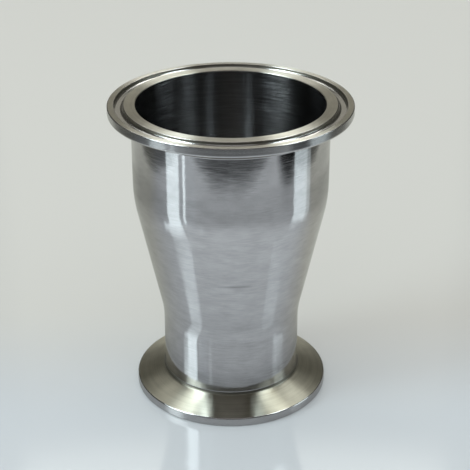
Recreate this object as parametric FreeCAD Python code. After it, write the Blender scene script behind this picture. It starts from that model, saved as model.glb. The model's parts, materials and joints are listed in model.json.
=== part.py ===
import FreeCAD, Part
import math
import os

# Sanitary clamp reducer, in millimetres.
#
# The fitting is a body of revolution about Z. It stands on the sealing face of its small end, whose
# centre is the origin, and +Z runs up to the large end.
#
# A clamp ferrule is a flat sealing face with a gasket groove, a thin rim, and a tapered back that the
# clamp band pulls on. A cone with a straight stretch of tube at each end joins the two ferrules. The
# welds are ground flush inside and outside, so the finished fitting is one solid with an even wall.

# Whole fitting
overall_length = 100.0
wall_thickness = 1.5

# Large end
large_tube_diameter = 63.0
large_flange_width = 7.25
large_tangent_length = 31.2
large_bend_radius = 38.0
large_back_edge_radius = 0.8

# Small end
small_tube_diameter = 45.0
small_flange_width = 9.5
small_tangent_length = 27.9
small_bend_radius = 28.0
small_back_edge_radius = 0.5

# Ferrule form, the same at both ends
rim_thickness = 2.85
clamp_taper_degrees = 20.0
neck_fillet_radius = 1.4
face_edge_radius = 0.3
bore_edge_radius = 0.3

# Gasket groove, the same section at both ends, with its centre line set in from the rim
groove_inset = 3.6
groove_mouth_width = 3.0
groove_floor_width = 2.6
groove_depth = 1.3
groove_lip_radius = 0.2
groove_floor_radius = 1.1

# The two roundings at the ends of a side take at most this share of it, so that they never meet
rounded_share = 0.98


def ferrule_corners(tube_radius, flange_width, back_edge_radius):
    """Corners of a ferrule from its bore, out over the face and in along the back to its neck.

    Each corner is (radius, depth below the sealing face, rounding).
    """
    rim_radius = tube_radius + flange_width
    groove_radius = rim_radius - groove_inset
    mouth = groove_mouth_width / 2
    floor = groove_floor_width / 2
    taper_rise = flange_width * math.tan(math.radians(clamp_taper_degrees))
    return [
        (tube_radius - wall_thickness, 0.0, bore_edge_radius),
        (groove_radius - mouth, 0.0, groove_lip_radius),
        (groove_radius - floor, groove_depth, groove_floor_radius),
        (groove_radius + floor, groove_depth, groove_floor_radius),
        (groove_radius + mouth, 0.0, groove_lip_radius),
        (rim_radius, 0.0, face_edge_radius),
        (rim_radius, rim_thickness, back_edge_radius),
        (tube_radius, rim_thickness + taper_rise, neck_fillet_radius),
    ]


def section_corners():
    """Every corner of the half section, once round, as (radius, height, rounding)."""
    small_radius = small_tube_diameter / 2
    large_radius = large_tube_diameter / 2
    cone_start = small_tangent_length
    cone_end = overall_length - large_tangent_length

    small_end = ferrule_corners(small_radius, small_flange_width, small_back_edge_radius)
    large_ferrule = ferrule_corners(large_radius, large_flange_width, large_back_edge_radius)
    large_end = [(radius, overall_length - depth, rounding) for radius, depth, rounding in large_ferrule]
    outer_bends = [
        (small_radius, cone_start, small_bend_radius),
        (large_radius, cone_end, large_bend_radius),
    ]

    # The bore's bends share their centres with the outer ones, which keeps the wall even round them
    half_angle = math.atan2(large_radius - small_radius, cone_end - cone_start)
    bore_rise = wall_thickness * math.tan(half_angle / 2)
    bore_bends = [
        (large_radius - wall_thickness, cone_end + bore_rise, large_bend_radius - wall_thickness),
        (small_radius - wall_thickness, cone_start + bore_rise, small_bend_radius + wall_thickness),
    ]
    return small_end + outer_bends + large_end[::-1] + bore_bends


def rounded_outline(corners):
    """A closed wire in the XZ plane through the corners, each rounded by an arc tangent to its two sides.

    Where a side is too short for the roundings at its two ends, both shrink by the same share.
    """
    points = [FreeCAD.Vector(radius, 0, height) for radius, height, _ in corners]
    count = len(points)
    sides = [points[(i + 1) % count] - points[i] for i in range(count)]
    half_openings = [(-sides[i - 1]).getAngle(sides[i]) / 2 for i in range(count)]
    reaches = [rounding / math.tan(half) for (_, _, rounding), half in zip(corners, half_openings)]
    wanted = [reaches[i] + reaches[(i + 1) % count] for i in range(count)]
    scales = [min(1, rounded_share * side.Length / reach) for side, reach in zip(sides, wanted)]

    arcs = []
    for i, (corner, half_opening) in enumerate(zip(points, half_openings)):
        back = (-sides[i - 1]).normalize()
        ahead = FreeCAD.Vector(sides[i]).normalize()
        reach = reaches[i] * min(scales[i - 1], scales[i])
        arc_radius = reach * math.tan(half_opening)
        inward = (back + ahead).normalize()
        crown = corner + inward * (arc_radius / math.sin(half_opening) - arc_radius)
        arcs.append((corner + back * reach, crown, corner + ahead * reach))

    edges = []
    for i, (start, crown, end) in enumerate(arcs):
        next_start = arcs[(i + 1) % count][0]
        edges.append(Part.Arc(start, crown, end).toShape())
        edges.append(Part.LineSegment(end, next_start).toShape())
    return Part.Wire(edges)


def clamp_reducer():
    """The finished fitting: its half section turned once round Z."""
    half_section = Part.Face(rounded_outline(section_corners()))
    return half_section.revolve(FreeCAD.Vector(0, 0, 0), FreeCAD.Vector(0, 0, 1), 360)


def main():
    os.makedirs("parts", exist_ok=True)
    solid = clamp_reducer()
    box = solid.optimalBoundingBox()
    print(f"clamp_reducer: {solid.ShapeType}, valid {solid.isValid()}, volume {solid.Volume / 1000:.2f} cm3")
    print(f"box {box.XLength:.2f} x {box.YLength:.2f} x {box.ZLength:.2f} mm, bottom at {box.ZMin:.3f} mm")
    solid.exportStep("parts/clamp_reducer.step")


main()
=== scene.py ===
# %% [markdown]
# # A sanitary clamp reducer
#
# A stainless steel fitting that joins a wide sanitary tube to a narrower one. Each end is a clamp ferrule:
# a flat sealing face with a gasket groove, a thin rim, and a tapered back. A cone joins the two ends.
#
# The whole fitting is a body of revolution, so its mesh is one section turned round the Z axis, as on a
# lathe. Its looks come from six finishes of one metal, and from what stands round it to be mirrored.

# %% Load the frame
import json
import math

import bmesh
import bpy
from mathutils import Matrix, Vector


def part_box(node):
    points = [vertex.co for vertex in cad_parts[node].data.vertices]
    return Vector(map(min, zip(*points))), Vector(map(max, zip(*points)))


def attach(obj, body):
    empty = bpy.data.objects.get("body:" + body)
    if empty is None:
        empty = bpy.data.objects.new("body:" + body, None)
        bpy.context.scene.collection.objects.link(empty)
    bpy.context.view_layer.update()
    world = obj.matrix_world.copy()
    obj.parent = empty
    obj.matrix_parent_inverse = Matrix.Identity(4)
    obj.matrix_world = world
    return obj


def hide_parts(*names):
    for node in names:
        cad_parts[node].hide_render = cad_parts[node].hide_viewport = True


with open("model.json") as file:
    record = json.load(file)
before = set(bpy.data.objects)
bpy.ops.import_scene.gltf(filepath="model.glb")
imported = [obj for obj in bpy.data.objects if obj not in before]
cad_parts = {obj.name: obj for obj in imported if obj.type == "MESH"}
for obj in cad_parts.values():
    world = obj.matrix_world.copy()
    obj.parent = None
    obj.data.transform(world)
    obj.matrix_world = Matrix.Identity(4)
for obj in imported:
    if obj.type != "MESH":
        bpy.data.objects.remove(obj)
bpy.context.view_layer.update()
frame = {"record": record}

# %% [markdown]
# ## Sizes
#
# The outer sizes are read from the frame: the rims and bores from its mounts, the length from its box.
# The small sizes of the ferrules are written here once, in millimetres. They could be measured on the
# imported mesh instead, but named values say what each one is.

# %% Sizes in metres
MM = 0.001

mounts = {mount["name"]: mount for mount in frame["record"]["mounts"]}


def mount_radius(name):
    return mounts[name]["dims"]["r_mm"] * MM


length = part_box("clamp_reducer")[1].z
wall = 1.5 * MM
large_rim, large_bore = mount_radius("large_rim"), mount_radius("large_bore")
small_rim, small_bore = mount_radius("small_rim"), mount_radius("small_bore")
large_tube, small_tube = large_bore + wall, small_bore + wall

large_tangent, small_tangent = 31.2 * MM, 27.9 * MM
large_bend, small_bend = 38.0 * MM, 28.0 * MM

rim_thickness = 2.85 * MM
clamp_taper = math.radians(20)
neck_fillet = 1.4 * MM
large_back_edge, small_back_edge = 0.8 * MM, 0.5 * MM
face_edge = bore_edge = 0.3 * MM

groove_inset, groove_mouth, groove_floor = 3.6 * MM, 3.0 * MM, 2.6 * MM
groove_depth, groove_lip, groove_bottom_edge = 1.3 * MM, 0.2 * MM, 1.1 * MM

print(f"length {length / MM:.1f} mm, rims {2 * large_rim / MM:.1f} and {2 * small_rim / MM:.1f} mm across")

# %% [markdown]
# ## The section
#
# A turned part is drawn as its half section: the outline that the lathe tool follows. Here it is a ring
# of sharp corners, each with the radius of its rounding. Every corner is (distance from the axis, height,
# rounding). The bore's bends share their centres with the outer ones, so the wall stays even.

# %% Corners of the half section


def ferrule(tube, rim, back_edge):
    """Corners from the bore, out over the sealing face and in along the back, with depth for height."""
    groove = rim - groove_inset
    neck = rim_thickness + (rim - tube) * math.tan(clamp_taper)
    return [
        (tube - wall, 0, bore_edge),
        (groove - groove_mouth / 2, 0, groove_lip),
        (groove - groove_floor / 2, groove_depth, groove_bottom_edge),
        (groove + groove_floor / 2, groove_depth, groove_bottom_edge),
        (groove + groove_mouth / 2, 0, groove_lip),
        (rim, 0, face_edge),
        (rim, rim_thickness, back_edge),
        (tube, neck, neck_fillet),
    ]


cone_start, cone_end = small_tangent, length - large_tangent
cone_angle = math.atan2(large_tube - small_tube, cone_end - cone_start)
bore_rise = wall * math.tan(cone_angle / 2)

small_end = ferrule(small_tube, small_rim, small_back_edge)
large_ferrule = ferrule(large_tube, large_rim, large_back_edge)
large_end = [(r, length - depth, rounding) for r, depth, rounding in large_ferrule]
cone_outside = [(small_tube, cone_start, small_bend), (large_tube, cone_end, large_bend)]
cone_inside = [
    (large_bore, cone_end + bore_rise, large_bend - wall),
    (small_bore, cone_start + bore_rise, small_bend + wall),
]
section = small_end + cone_outside + large_end[::-1] + cone_inside
print("section corners:", len(section), "cone half angle:", round(math.degrees(cone_angle), 2))

# %% [markdown]
# ## Turning the section
#
# The corners are a few vertices joined by edges. Bevelling one vertex with the right reach puts an arc
# there that is tangent to both sides, so each corner gets its own true radius. One spin with merged ends
# then makes the whole skin as clean rings of four-sided faces. A solid of revolution could also come from
# a Screw modifier, but with the operator the faces are there at once, to be given their finishes.

# %% Turn the section round Z
ARC_STEP = math.radians(6)
FEWEST_SEGMENTS = 4
SPIN_STEPS = 288
MERGE_WITHIN = 0.001 * MM


def round_corner(bm, corner, rounding):
    """Bevels one corner of the outline to an arc of the radius that rounding gives."""
    before, after = [edge.other_vert(corner).co - corner.co for edge in corner.link_edges]
    half_opening = before.angle(after) / 2
    turn = math.pi - 2 * half_opening
    bmesh.ops.bevel(
        bm,
        geom=[corner],
        offset=rounding / math.tan(half_opening),
        offset_type="OFFSET",
        affect="VERTICES",
        segments=max(FEWEST_SEGMENTS, round(turn / ARC_STEP)),
        profile=0.5,
        material=-1,
        clamp_overlap=False,
    )


bm = bmesh.new()
corners = [bm.verts.new((r, 0, z)) for r, z, _ in section]
for this, following in zip(corners, corners[1:] + corners[:1]):
    bm.edges.new((this, following))
for corner, (_, _, rounding) in zip(corners, section):
    round_corner(bm, corner, rounding)
outline_points = len(bm.verts)

bmesh.ops.spin(
    bm,
    geom=bm.verts[:] + bm.edges[:],
    cent=(0, 0, 0),
    axis=(0, 0, 1),
    dvec=(0, 0, 0),
    angle=math.tau,
    steps=SPIN_STEPS,
    use_merge=True,
)
bmesh.ops.remove_doubles(bm, verts=bm.verts, dist=MERGE_WITHIN)
bmesh.ops.recalc_face_normals(bm, faces=bm.faces)
print("outline points:", outline_points, "faces:", len(bm.faces))
print("volume, cm3:", round(bm.calc_volume() * 1e6, 2))

# %% [markdown]
# ## Six finishes on one skin
#
# The maker works the one metal in several ways, and each shows as a different kind of shine:
#
# - The tube and the cone are brushed on an abrasive belt.
# - The sealing faces are cut flat with a fine tool, and the tapered backs with a coarser one.
# - The rims and the floors of the grooves are buffed.
# - The bore is polished, so that nothing sticks to it.
# - The steep walls of the grooves and the necks are rougher, and their darker colour is painted shade.
#
# A face gets its finish by where it lies and which way it faces. Picking the faces by rule is surer than by
# their numbers, which change with every change to the section.

# %% Give each face its finish
FINISHES = [
    "brushed_stainless",
    "faced_stainless",
    "turned_stainless",
    "buffed_stainless",
    "polished_stainless",
    "shaded_corner_stainless",
]
BRUSHED, FACED, TURNED, BUFFED, POLISHED, SHADED_CORNER = range(len(FINISHES))

# How far a face is from upright, as the height of its normal: 0 is a wall and 1 is a floor
STEEP_WALL = 0.5
# Neck faces with a normal height in this band get the finish with painted shade
SHADED_AT_NECK = (0.2, 0.7)


def finish_of(face):
    middle = face.calc_center_median()
    outwards = Vector((middle.x, middle.y, 0))
    radius = outwards.length
    slope = abs(face.normal.z)
    ends = (
        (small_tube, small_rim, small_back_edge, middle.z),
        (large_tube, large_rim, large_back_edge, length - middle.z),
    )
    for tube, rim, back_edge, depth in ends:
        neck = rim_thickness + (rim - tube) * math.tan(clamp_taper)
        from_groove = abs(radius - (rim - groove_inset))
        in_groove = 0 < depth < groove_depth and from_groove < groove_mouth / 2 + groove_lip
        at_neck = abs(depth - neck) < neck_fillet and tube <= radius < tube + neck_fillet
        # Groove walls and neck fillets get the darker colour of painted shade
        if in_groove and slope < STEEP_WALL:
            return SHADED_CORNER
        if at_neck and SHADED_AT_NECK[0] < slope < SHADED_AT_NECK[1]:
            return SHADED_CORNER
        if depth < neck and radius > tube - wall:
            if radius > rim - back_edge or in_groove:
                return BUFFED
            return FACED if depth < rim_thickness / 2 else TURNED
    facing_out = face.normal.dot(outwards) > 0
    return BRUSHED if facing_out else POLISHED


for face in bm.faces:
    face.material_index = finish_of(face)
    face.smooth = True
counts = {name: sum(face.material_index == i for face in bm.faces) for i, name in enumerate(FINISHES)}
print("faces by finish:", counts)

mesh = bpy.data.meshes.new("reducer_skin")
bm.to_mesh(mesh)
bm.free()
reducer = bpy.data.objects.new("reducer_skin", mesh)
bpy.context.scene.collection.objects.link(reducer)

# %% [markdown]
# ## Smooth shading that keeps the flats flat
#
# Smooth shading blends the direction of the light over each edge. On the wide flat faces that would bend
# the reflections near the small roundings. A Weighted Normal modifier lets the wide faces keep their own
# direction, so only the roundings curve.

# %% Keep the flats flat
flats = reducer.modifiers.new("flats_stay_flat", "WEIGHTED_NORMAL")
flats.mode = "FACE_AREA"
flats.weight = 100

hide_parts("clamp_reducer")
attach(reducer, "root")
print("the skin stands in for clamp_reducer, with", len(reducer.data.polygons), "faces")

# %% [markdown]
# ## Nodes in a few words
#
# Every material is built from nodes by one small function: it adds a node, sets what it is told and links
# what it is given. Colours are written as on the screen and made linear in one place.

# %% Colours and nodes


def linear(hex_colour):
    """The linear colour of an sRGB hex value such as #C8C8C8."""
    values = [int(hex_colour[i : i + 2], 16) / 255 for i in (1, 3, 5)]
    return [v / 12.92 if v <= 0.04045 else ((v + 0.055) / 1.055) ** 2.4 for v in values] + [1]


def add(tree, kind, settings=None, **sockets):
    """Adds a node with its settings. A socket, named with _ for a space, takes a value or a link.

    Where names repeat, as on a Math node, _0 or _1 is the number of the socket.
    """
    node = tree.nodes.new(kind)
    for name, value in (settings or {}).items():
        setattr(node, name, value)
    for name, value in sockets.items():
        socket = node.inputs[int(name[1:])] if name[1:].isdigit() else node.inputs[name.replace("_", " ")]
        if isinstance(value, bpy.types.NodeSocket):
            tree.links.new(value, socket)
        else:
            socket.default_value = value
    return node


def new_material(name):
    material = bpy.data.materials.new(name)
    material.use_nodes = True
    material.node_tree.nodes.clear()
    return material, material.node_tree


print("middle grey #808080 is", round(linear("#808080")[0], 3), "in linear light")

# %% [markdown]
# ## Lines that run round the axis
#
# A belt or a turning tool leaves its lines round the axis. They are a noise that is stretched that way. Its
# fast direction is height plus distance from the axis, which changes along every wall, cone and face of a
# turned part, so one pattern fits them all.

# %% Turning lines


def turned_coordinates(tree, around, across):
    """Object coordinates in cells: around is the length of a scratch, across is its width, in metres."""
    place = add(tree, "ShaderNodeTexCoord").outputs["Object"]
    x, y, z = add(tree, "ShaderNodeSeparateXYZ", Vector=place).outputs
    flat = add(tree, "ShaderNodeCombineXYZ", X=x, Y=y).outputs["Vector"]
    radius = add(tree, "ShaderNodeVectorMath", {"operation": "LENGTH"}, _0=flat).outputs["Value"]
    fast = add(tree, "ShaderNodeMath", {"operation": "ADD"}, _0=z, _1=radius).outputs["Value"]
    lathe = add(tree, "ShaderNodeCombineXYZ", X=x, Y=y, Z=fast).outputs["Vector"]
    per_cell = (1 / around, 1 / around, 1 / across)
    cells = add(tree, "ShaderNodeVectorMath", {"operation": "MULTIPLY"}, _0=lathe, _1=per_cell)
    return cells.outputs["Vector"]


# The belt's lines are some 0.05 mm wide and the tool's some 0.1 mm. Both are too fine to show, so they are
# drawn coarser.
BELT_LINE = 0.30 * MM
TOOL_LINE = 0.35 * MM
print("lines drawn", round(BELT_LINE / MM, 2), "and", round(TOOL_LINE / MM, 2), "mm wide")

# %% [markdown]
# ## Stainless steel
#
# All the finishes are the same AISI 304 steel, a pale grey metal, and differ in how fine the surface is. The
# lines blur a reflection across them and hardly along them. That is anisotropy, here with the tangent turned
# from round the axis to along it. On a standing tube it draws every light out into a long upright streak.
#
# Slow clouds in the colour are the faint stain and uneven pressure that hand polishing leaves. Without them
# the tube looks like plastic foil.

# %% Steel with lines round the axis
CLOUD_SIZE = (5 * MM, 3 * MM)
WAVE_SIZE = (14 * MM, 6 * MM)
CLOUD_BAND = (0.35, 0.65)
SCRATCH_BAND = (0.4, 0.7)
QUARTER_TURN = 0.25


def steel(name, colour, roughness, anisotropy, lines, tint, wave_depth=None, mark=None):
    """Adds one finish to the skin.

    Roughness is that between the lines and that in them, lines are (width, length, depth) in metres, and
    tint is how far the clouds darken the colour.
    """
    material, tree = new_material(name)
    line_width, line_length, line_depth = lines
    along_lines = turned_coordinates(tree, line_length, line_width)
    over_clouds = turned_coordinates(tree, *CLOUD_SIZE)
    scratches = add(tree, "ShaderNodeTexNoise", Vector=along_lines, Scale=1.0, Detail=2.0).outputs["Fac"]
    clouds = add(tree, "ShaderNodeTexNoise", Vector=over_clouds, Scale=1.0, Detail=3.0).outputs["Fac"]

    under = {}
    if wave_depth:
        over_waves = turned_coordinates(tree, *WAVE_SIZE)
        waves = add(tree, "ShaderNodeTexNoise", Vector=over_waves, Scale=1.0).outputs["Fac"]
        slow = add(tree, "ShaderNodeBump", Height=waves, Strength=1.0, Distance=wave_depth)
        under = {"Normal": slow.outputs["Normal"]}
    fine = add(tree, "ShaderNodeBump", Height=scratches, Strength=1.0, Distance=line_depth, **under)

    both = add(tree, "ShaderNodeMix", Factor=0.5, _2=scratches, _3=clouds).outputs[0]
    share = add(
        tree,
        "ShaderNodeMapRange",
        Value=both,
        From_Min=CLOUD_BAND[0],
        From_Max=CLOUD_BAND[1],
        To_Min=1 - tint,
        To_Max=1.0,
    ).outputs["Result"]
    if mark:
        share = mark(tree, share)
    metal = add(tree, "ShaderNodeVectorMath", {"operation": "SCALE"}, _0=linear(colour)[:3], Scale=share)

    scratched = add(
        tree,
        "ShaderNodeMapRange",
        Value=scratches,
        From_Min=SCRATCH_BAND[0],
        From_Max=SCRATCH_BAND[1],
        To_Min=roughness[0],
        To_Max=roughness[1],
    )
    tangent = add(tree, "ShaderNodeTangent", {"direction_type": "RADIAL", "axis": "Z"})
    shader = add(
        tree,
        "ShaderNodeBsdfPrincipled",
        Base_Color=metal.outputs["Vector"],
        Metallic=1.0,
        Roughness=scratched.outputs["Result"],
        Anisotropic=anisotropy,
        Anisotropic_Rotation=QUARTER_TURN,
        Normal=fine.outputs["Normal"],
        Tangent=tangent.outputs["Tangent"],
    )
    add(tree, "ShaderNodeOutputMaterial", Surface=shader.outputs["BSDF"])
    reducer.data.materials.append(material)
    print(f"{name}: roughness {roughness[0]} to {roughness[1]}")


# %% [markdown]
# ## Brushed tube and cone
#
# The belt's fine lines make the long upright streaks of the windows and a soft picture of the table. The
# hand that holds the tube to the belt leaves it faintly wavy. Low on the front of the cone the belt has left
# one short dark stroke.

# %% Brushed finish
MARK_MIDDLE = (1.5 * MM, -25.5 * MM, 48.7 * MM)
MARK_REACH = (6.5 * MM, 4.0 * MM, 0.5 * MM)
MARK_FADE = (0.2, 1.3)
MARK_DARKEST = 0.66


def belt_mark(tree, share):
    """Darkens the colour inside one long flat ellipsoid on the front of the cone."""
    place = add(tree, "ShaderNodeTexCoord").outputs["Object"]
    away = add(tree, "ShaderNodeVectorMath", {"operation": "SUBTRACT"}, _0=place, _1=MARK_MIDDLE).outputs[0]
    scaled = add(tree, "ShaderNodeVectorMath", {"operation": "DIVIDE"}, _0=away, _1=MARK_REACH).outputs[0]
    distance = add(tree, "ShaderNodeVectorMath", {"operation": "LENGTH"}, _0=scaled).outputs["Value"]
    left = add(
        tree,
        "ShaderNodeMapRange",
        {"interpolation_type": "SMOOTHSTEP"},
        Value=distance,
        From_Min=MARK_FADE[0],
        From_Max=MARK_FADE[1],
        To_Min=MARK_DARKEST,
        To_Max=1.0,
    ).outputs["Result"]
    return add(tree, "ShaderNodeMath", {"operation": "MULTIPLY"}, _0=share, _1=left).outputs["Value"]


steel(
    "brushed_stainless",
    "#D2D1D2",
    roughness=(0.05, 0.10),
    anisotropy=1.0,
    lines=(BELT_LINE, 4 * MM, 0.003 * MM),
    tint=0.20,
    wave_depth=0.04 * MM,
    mark=belt_mark,
)

# %% [markdown]
# ## Sealing faces and tapered backs
#
# Both are cut on the lathe, so they keep long even tool lines and a satin shine. The faces give the eye a
# pale ring, brightest where it mirrors the wall. The backs are a warmer grey and show broad fans of light.

# %% Cut finishes
steel(
    "faced_stainless",
    "#D9D7CF",
    roughness=(0.31, 0.35),
    anisotropy=1.0,
    lines=(TOOL_LINE, 40 * MM, 0.003 * MM),
    tint=0.22,
)
steel(
    "turned_stainless",
    "#B6B4A8",
    roughness=(0.31, 0.35),
    anisotropy=1.0,
    lines=(TOOL_LINE, 40 * MM, 0.003 * MM),
    tint=0.22,
)

# %% [markdown]
# ## Rims and groove floors
#
# A soft wheel takes most of the tool lines off. The rims are crisp and draw the thin bright lines round both
# ends.

# %% Buffed finish
steel(
    "buffed_stainless",
    "#CAC9C9",
    roughness=(0.18, 0.22),
    anisotropy=0.8,
    lines=(TOOL_LINE, 30 * MM, 0.002 * MM),
    tint=0.12,
)

# %% [markdown]
# ## Bore
#
# The bore mirrors its own dark inside, and its steel is given a darker grey than the outside as painted
# shade, so it is nearly black with a few soft upright streaks.

# %% Polished finish
steel(
    "polished_stainless",
    # A darker grey than the outside steel: painted shade in the bore
    "#ADADAE",
    roughness=(0.15, 0.26),
    anisotropy=1.0,
    lines=(BELT_LINE, 8 * MM, 0.001 * MM),
    tint=0.15,
)

# %% [markdown]
# ## Painted shade in the corners
#
# The groove walls and the necks get a rougher steel whose darker colour is painted shade in these corners.
# They draw the thin dark lines that set the parts of a ferrule apart.

# %% Painted shade in the corners
steel(
    "shaded_corner_stainless",
    "#737067",
    roughness=(0.40, 0.45),
    anisotropy=0.6,
    lines=(TOOL_LINE, 30 * MM, 0.002 * MM),
    tint=0.12,
)
print("in the order of the list:", [material.name for material in reducer.data.materials] == FINISHES)

# %% [markdown]
# ## Camera
#
# A long lens looks down on the fitting from some 45 cm away and 14 cm above its rim. Both ends then keep
# nearly the same scale, and the bore still opens to the eye.

# %% Camera
camera_data = bpy.data.cameras.new("camera")
camera = bpy.data.objects.new("camera", camera_data)
bpy.context.scene.collection.objects.link(camera)
bpy.context.scene.camera = camera

camera_data.sensor_width = 36
camera_data.lens = 99.6
LOOK_DOWN = 26.19
camera.location = (1.33 * MM, -383.5 * MM, 242.2 * MM)
camera.rotation_euler = (math.radians(90 - LOOK_DOWN), 0, 0)
print("camera", round(camera.location.length, 3), "m from the origin, looking", LOOK_DOWN, "degrees down")

# %% [markdown]
# ## Table and background
#
# The pale table is also the background. Steel has hardly a look of its own: most of what the tube shows is
# this table, so the table is drawn with as much care as the metal. Its shade in the steel runs through
# stops, each a distance in millimetres and a share of the light:
#
# - Close round the foot it is darker, because the fitting shades it.
# - In front and at the sides the pale area ends some 21 cm away. Mirrored, that edge is the soft dark cloud
#   on the upper tube. Half a metre on, the table is pale again, for views from low down.
# - A patch of painted shade far to the right makes the dark stripe beside the right streak, and a
#   faint one on the left makes the left side of the tube a little darker.
#
# The stops aren't those of a measured table. Each row down the middle of the tube was worked back to the
# distance that it mirrors. The stop there was then corrected by the photograph's brightness over the
# render's, so the stops follow the photograph in that strip.

# %% Shade of the table
ROUND_THE_FOOT = (
    (30, 0.80),
    (36, 0.80),
    (38, 0.56),
    (46, 0.84),
    (55, 0.92),
    (65, 0.90),
    (75, 0.96),
    (100, 0.98),
    (125, 1.0),
    (145, 0.91),
    (165, 0.80),
    (182, 0.73),
    (198, 0.73),
    (207, 0.92),
    (300, 0.93),
)
ACROSS_THE_EDGE = (
    (198, 0.787),
    (205, 0.79),
    (213, 0.99),
    (217, 0.91),
    (219, 0.80),
    (221, 0.34),
    (225, 0.15),
    (230, 0.16),
    (234, 0.20),
    (239, 0.15),
    (245, 0.115),
    (270, 0.10),
    (450, 0.12),
    (900, 0.75),
    (1500, 0.90),
)
EDGE_SLANT = 0.15

# Each patch is painted shade on the table that the steel mirrors: its middle, in metres, and its stops
SHADE_PATCHES = (
    ((253 * MM, -118 * MM, 0), ((52, 0.03), (64, 0.45), (80, 0.90))),
    ((-140 * MM, 40 * MM, 0), ((60, 0.78), (130, 1.0))),
)


def shade(tree, colour, distance, stops):
    """The colour times a grey that runs through the stops."""
    reach = stops[-1][0]
    place = add(tree, "ShaderNodeMath", {"operation": "DIVIDE"}, _0=distance, _1=reach * MM)
    node = add(tree, "ShaderNodeValToRGB", Fac=place.outputs["Value"])
    while len(node.color_ramp.elements) < len(stops):
        node.color_ramp.elements.new(1.0)
    for element, (position, share) in zip(node.color_ramp.elements, stops):
        element.position = position / reach
        element.color = (share, share, share, 1)
    grey = node.outputs["Color"]
    return add(tree, "ShaderNodeVectorMath", {"operation": "MULTIPLY"}, _0=colour, _1=grey).outputs["Vector"]


print("stops:", len(ROUND_THE_FOOT), "round the foot and", len(ACROSS_THE_EDGE), "across the edge")

# %% [markdown]
# ## Colour of the table
#
# Seen straight, the table is an even pale grey, a little cooler in front. The steel mirrors a paler one with
# the shade over it. Light Path tells the two kinds of ray apart.

# %% Colour of the table
COOL_TO_WARM = (-30 * MM, 50 * MM)

material, tree = new_material("pale_tabletop")
place = add(tree, "ShaderNodeTexCoord").outputs["Object"]
x, y, _ = add(tree, "ShaderNodeSeparateXYZ", Vector=place).outputs
behind = add(
    tree,
    "ShaderNodeMapRange",
    {"interpolation_type": "SMOOTHSTEP"},
    Value=y,
    From_Min=COOL_TO_WARM[0],
    From_Max=COOL_TO_WARM[1],
).outputs["Result"]
blend = {"data_type": "RGBA"}
front, back = linear("#D3D8DD"), linear("#D5D4D0")
seen = add(tree, "ShaderNodeMix", blend, _0=behind, _6=front, _7=back).outputs[2]
front, back = linear("#F3F6FB"), linear("#EEEDE4")
in_steel = add(tree, "ShaderNodeMix", blend, _0=behind, _6=front, _7=back).outputs[2]

distance = add(tree, "ShaderNodeVectorMath", {"operation": "LENGTH"}, _0=place).outputs["Value"]
in_steel = shade(tree, in_steel, distance, ROUND_THE_FOOT)
sideways = add(tree, "ShaderNodeMath", {"operation": "ABSOLUTE"}, _0=x).outputs["Value"]
slant = add(tree, "ShaderNodeMath", {"operation": "MULTIPLY"}, _0=sideways, _1=EDGE_SLANT).outputs["Value"]
forwards = add(tree, "ShaderNodeMath", {"operation": "SUBTRACT"}, _0=slant, _1=y).outputs["Value"]
outwards = add(tree, "ShaderNodeMath", {"operation": "MAXIMUM"}, _0=sideways, _1=forwards).outputs["Value"]
in_steel = shade(tree, in_steel, outwards, ACROSS_THE_EDGE)
for middle, stops in SHADE_PATCHES:
    away = add(tree, "ShaderNodeVectorMath", {"operation": "DISTANCE"}, _0=place, _1=middle).outputs["Value"]
    in_steel = shade(tree, in_steel, away, stops)

mirrored = add(tree, "ShaderNodeLightPath").outputs["Is Glossy Ray"]
colour = add(tree, "ShaderNodeMix", blend, _0=mirrored, _6=seen, _7=in_steel).outputs[2]
print("nodes of the table so far:", len(tree.nodes))

# %% [markdown]
# ## Gloss of the table
#
# A soft gloss, as a small share of the light, mirrors the windows. Through it the tube gets its streaks. A
# share that grows as on glass would turn the far table dark, so it ends at a fixed value.

# %% Gloss of the table
GLOSS_SEEN = 0.07
GLOSS_IN_STEEL = 0.17
GLOSS_ROUGHNESS = 0.10
TABLE_IOR = 1.45
FRESNEL_BAND = (0.0345, 0.075)

fresnel = add(tree, "ShaderNodeFresnel", IOR=TABLE_IOR).outputs[0]
grown = add(
    tree,
    "ShaderNodeMapRange",
    Value=fresnel,
    From_Min=FRESNEL_BAND[0],
    From_Max=FRESNEL_BAND[1],
    To_Min=0.0,
    To_Max=GLOSS_IN_STEEL,
).outputs["Result"]
gloss_share = add(tree, "ShaderNodeMix", Factor=mirrored, _2=GLOSS_SEEN, _3=grown).outputs[0]
matt = add(tree, "ShaderNodeBsdfDiffuse", Color=colour).outputs["BSDF"]
white = linear("#FFFFFF")
gloss = add(tree, "ShaderNodeBsdfGlossy", Color=white, Roughness=GLOSS_ROUGHNESS).outputs["BSDF"]
surface = add(tree, "ShaderNodeMixShader", Fac=gloss_share, _1=matt, _2=gloss)
add(tree, "ShaderNodeOutputMaterial", Surface=surface.outputs["Shader"])
print("gloss seen", GLOSS_SEEN, "and in the steel up to", GLOSS_IN_STEEL)

# %% [markdown]
# ## Table top
#
# The top is a disc so wide that its rim is out of sight. It lies a hair below the foot, so that the two
# never share a plane.

# %% Table top
TABLE_RADIUS = 4.0
TABLE_SIDES = 96
TABLE_DROP = 0.05 * MM


def stage_object(name, bm, material):
    """An object of the scene round the fitting, from a bmesh."""
    mesh = bpy.data.meshes.new(name)
    bm.to_mesh(mesh)
    bm.free()
    mesh.materials.append(material)
    obj = bpy.data.objects.new(name, mesh)
    bpy.context.scene.collection.objects.link(obj)
    return obj


def disc(radius, sides, height):
    """A flat disc round the axis, as a bmesh."""
    bm = bmesh.new()
    place = Matrix.Translation((0, 0, height))
    bmesh.ops.create_circle(bm, cap_ends=True, segments=sides, radius=radius, matrix=place)
    return bm


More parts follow.
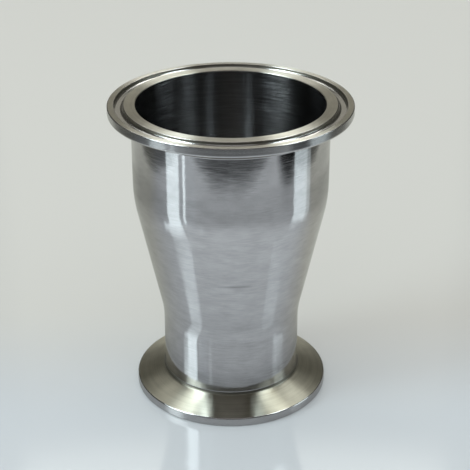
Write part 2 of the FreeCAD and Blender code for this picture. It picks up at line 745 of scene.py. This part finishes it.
stage_object("table", disc(TABLE_RADIUS, TABLE_SIDES, -TABLE_DROP), material)
print("table", 2 * TABLE_RADIUS, "m across, its top", TABLE_DROP / MM, "mm under the fitting")

# %% [markdown]
# ## World
#
# A plain pale world is the soft studio light of the table and of its soft shadow. The steel doesn't mirror
# it: in a real room a fitting mirrors walls and windows, and these come next.

# %% World
world = bpy.data.worlds.new("pale_room")
bpy.context.scene.world = world
world.use_nodes = True
world.node_tree.nodes.clear()
WORLD_STRENGTH = 1.14
sky = add(world.node_tree, "ShaderNodeBackground", Color=linear("#E4E6E4"), Strength=WORLD_STRENGTH)
add(world.node_tree, "ShaderNodeOutputWorld", Surface=sky.outputs["Background"])
world.cycles_visibility.glossy = False
print("world strength", WORLD_STRENGTH)

# %% [markdown]
# ## The room in the steel
#
# The room is a ring of glowing cards round the fitting, each given by the directions that it fills. Area
# lamps could light the scene too, but cards show in metal as the shapes they are. Each is one upright edge
# swung round the axis with a spin.

# %% A card
DAYLIGHT = "#E4F3F6"
LAMPLIGHT = "#F4F2E4"
CARD_STEP = 5


def glowing(name, colour, strength):
    material, tree = new_material(name)
    glow = add(tree, "ShaderNodeEmission", Color=linear(colour), Strength=strength)
    add(tree, "ShaderNodeOutputMaterial", Surface=glow.outputs["Emission"])
    return material


def only_mirrored(obj, lights_table=False):
    """Leaves the object to the reflections, and to the light on the table if that is wanted."""
    obj.visible_camera = False
    obj.visible_diffuse = lights_table
    obj.visible_shadow = False


def card(name, azimuths, elevations, distance, colour, strength, lights_table):
    """A card on a cylinder round the fitting. Azimuth 0 is towards the camera, 90 is to its right."""
    start, end = [math.radians(a) for a in azimuths]
    low, high = [distance * math.tan(math.radians(e)) for e in elevations]
    bm = bmesh.new()
    foot = bm.verts.new((distance * math.sin(start), -distance * math.cos(start), low))
    top = bm.verts.new((foot.co.x, foot.co.y, high))
    edge = bm.edges.new((foot, top))
    bmesh.ops.spin(
        bm,
        geom=[foot, top, edge],
        cent=(0, 0, 0),
        axis=(0, 0, 1),
        dvec=(0, 0, 0),
        angle=end - start,
        steps=max(2, round(math.degrees(end - start) / CARD_STEP)),
    )
    obj = stage_object(name, bm, glowing(name, colour, strength))
    only_mirrored(obj, lights_table)


print("cards turn in steps of", CARD_STEP, "degrees")

# %% [markdown]
# ## Walls, windows and lights
#
# A streak in the steel at a given place comes from one known direction, so each card can be placed by
# working back from where its reflection shows:
#
# - Tall windows left and right give the bright streaks on the tube, and a narrow one beside the left window
#   the thin line next to it.
# - High lights over the windows give the streaks on the cone and in the bore.
# - Two lights near the ceiling give the bright fans on the tapered back of the foot.
# - Dim walls in front and behind fill the rest. They keep the faces of the ferrules grey. A paler low wall
#   stands before them, for views from low down.

# %% Cards round the fitting
# Name, azimuths, elevations, distance in metres, colour, strength, whether it lights the table
CARDS = (
    ("low_wall", (-180, 180), (0, 7), 1.0, "#8C8D8B", 1.0, False),
    ("left_dark_edge", (-104, -80), (0, 28), 1.25, "#1C1C1C", 1.0, False),
    ("left_window", (-78, -61), (14, 28), 1.2, DAYLIGHT, 5.6, True),
    ("left_window_top", (-79, -61), (28, 31), 1.2, DAYLIGHT, 5.8, True),
    ("left_window_middle", (-88.5, -60), (31, 34), 1.2, DAYLIGHT, 7.8, True),
    ("left_window_head", (-83, -60), (34, 44), 1.2, DAYLIGHT, 6.6, True),
    ("left_window_bar", (-61, -56), (0, 28), 1.25, "#5C6B78", 1.0, False),
    ("left_side_light", (-55.9, -53), (14, 28), 1.2, DAYLIGHT, 6.0, True),
    ("left_front_wall", (-56, -41), (0, 50), 1.3, "#77838D", 1.0, False),
    ("left_front_corner", (-41, -30), (0, 50), 1.3, "#4E5156", 1.0, False),
    ("left_thin_light", (-38, -33.5), (31, 36), 1.2, DAYLIGHT, 1.6, False),
    ("front_wall", (-30, 62), (0, 50), 1.3, "#242426", 1.0, False),
    ("front_upper_wall", (-30, 30), (40, 60), 0.75, "#BDBDBD", 1.0, False),
    ("right_dark_corner", (62, 77), (0, 50), 1.3, "#0C0C0C", 1.0, False),
    ("right_window", (77, 97), (14, 29), 1.2, DAYLIGHT, 4.2, True),
    ("right_low_window", (97, 103), (14, 28), 1.2, DAYLIGHT, 2.0, True),
    ("right_window_top", (76, 86), (32, 34), 1.2, DAYLIGHT, 2.4, False),
    ("left_high_light", (-80, -58), (44, 62), 0.75, DAYLIGHT, 17.0, False),
    ("right_high_light", (62, 86), (44, 62), 0.75, DAYLIGHT, 6.0, False),
    ("left_ceiling_light", (-140, -100), (58, 71), 0.5, LAMPLIGHT, 3.1, False),
    ("right_ceiling_light", (100, 140), (58, 71), 0.5, LAMPLIGHT, 4.6, False),
    ("left_upper_wall", (-165, -135), (44, 57), 0.75, "#E8E8E0", 2.1, False),
    ("right_upper_wall", (135, 165), (44, 57), 0.75, "#E8E8E0", 4.0, False),
    ("back_wall_top", (150, 210), (36, 48), 1.3, "#E8E8E0", 2.4, False),
    ("back_wall_middle", (166, 194), (0, 34), 1.3, "#A6A397", 1.0, False),
    ("back_wall_left", (194, 262), (0, 46), 1.3, "#42413A", 1.0, False),
    ("back_wall_right", (106, 166), (0, 46), 1.3, "#42413A", 1.0, False),
)
for values in CARDS:
    card(*values)
print("cards:", len(CARDS))

# %% [markdown]
# ## Ceiling
#
# The tapered back of the foot slopes by only 20 degrees, so its front mirrors what is overhead. A dim
# ceiling makes it dark between the two bright fans.

# %% Ceiling
CEILING_HEIGHT = 1.5
CEILING_RADIUS = 1.35
CEILING_SIDES = 48

plaster = glowing("ceiling", "#5C564E", 1.0)
ceiling = stage_object("ceiling", disc(CEILING_RADIUS, CEILING_SIDES, CEILING_HEIGHT), plaster)
only_mirrored(ceiling)
print("ceiling", CEILING_HEIGHT, "m up")

# %% [markdown]
# ## View
#
# The plain view transform shows the colours as they are set.

# %% View
bpy.context.scene.view_settings.view_transform = "Standard"
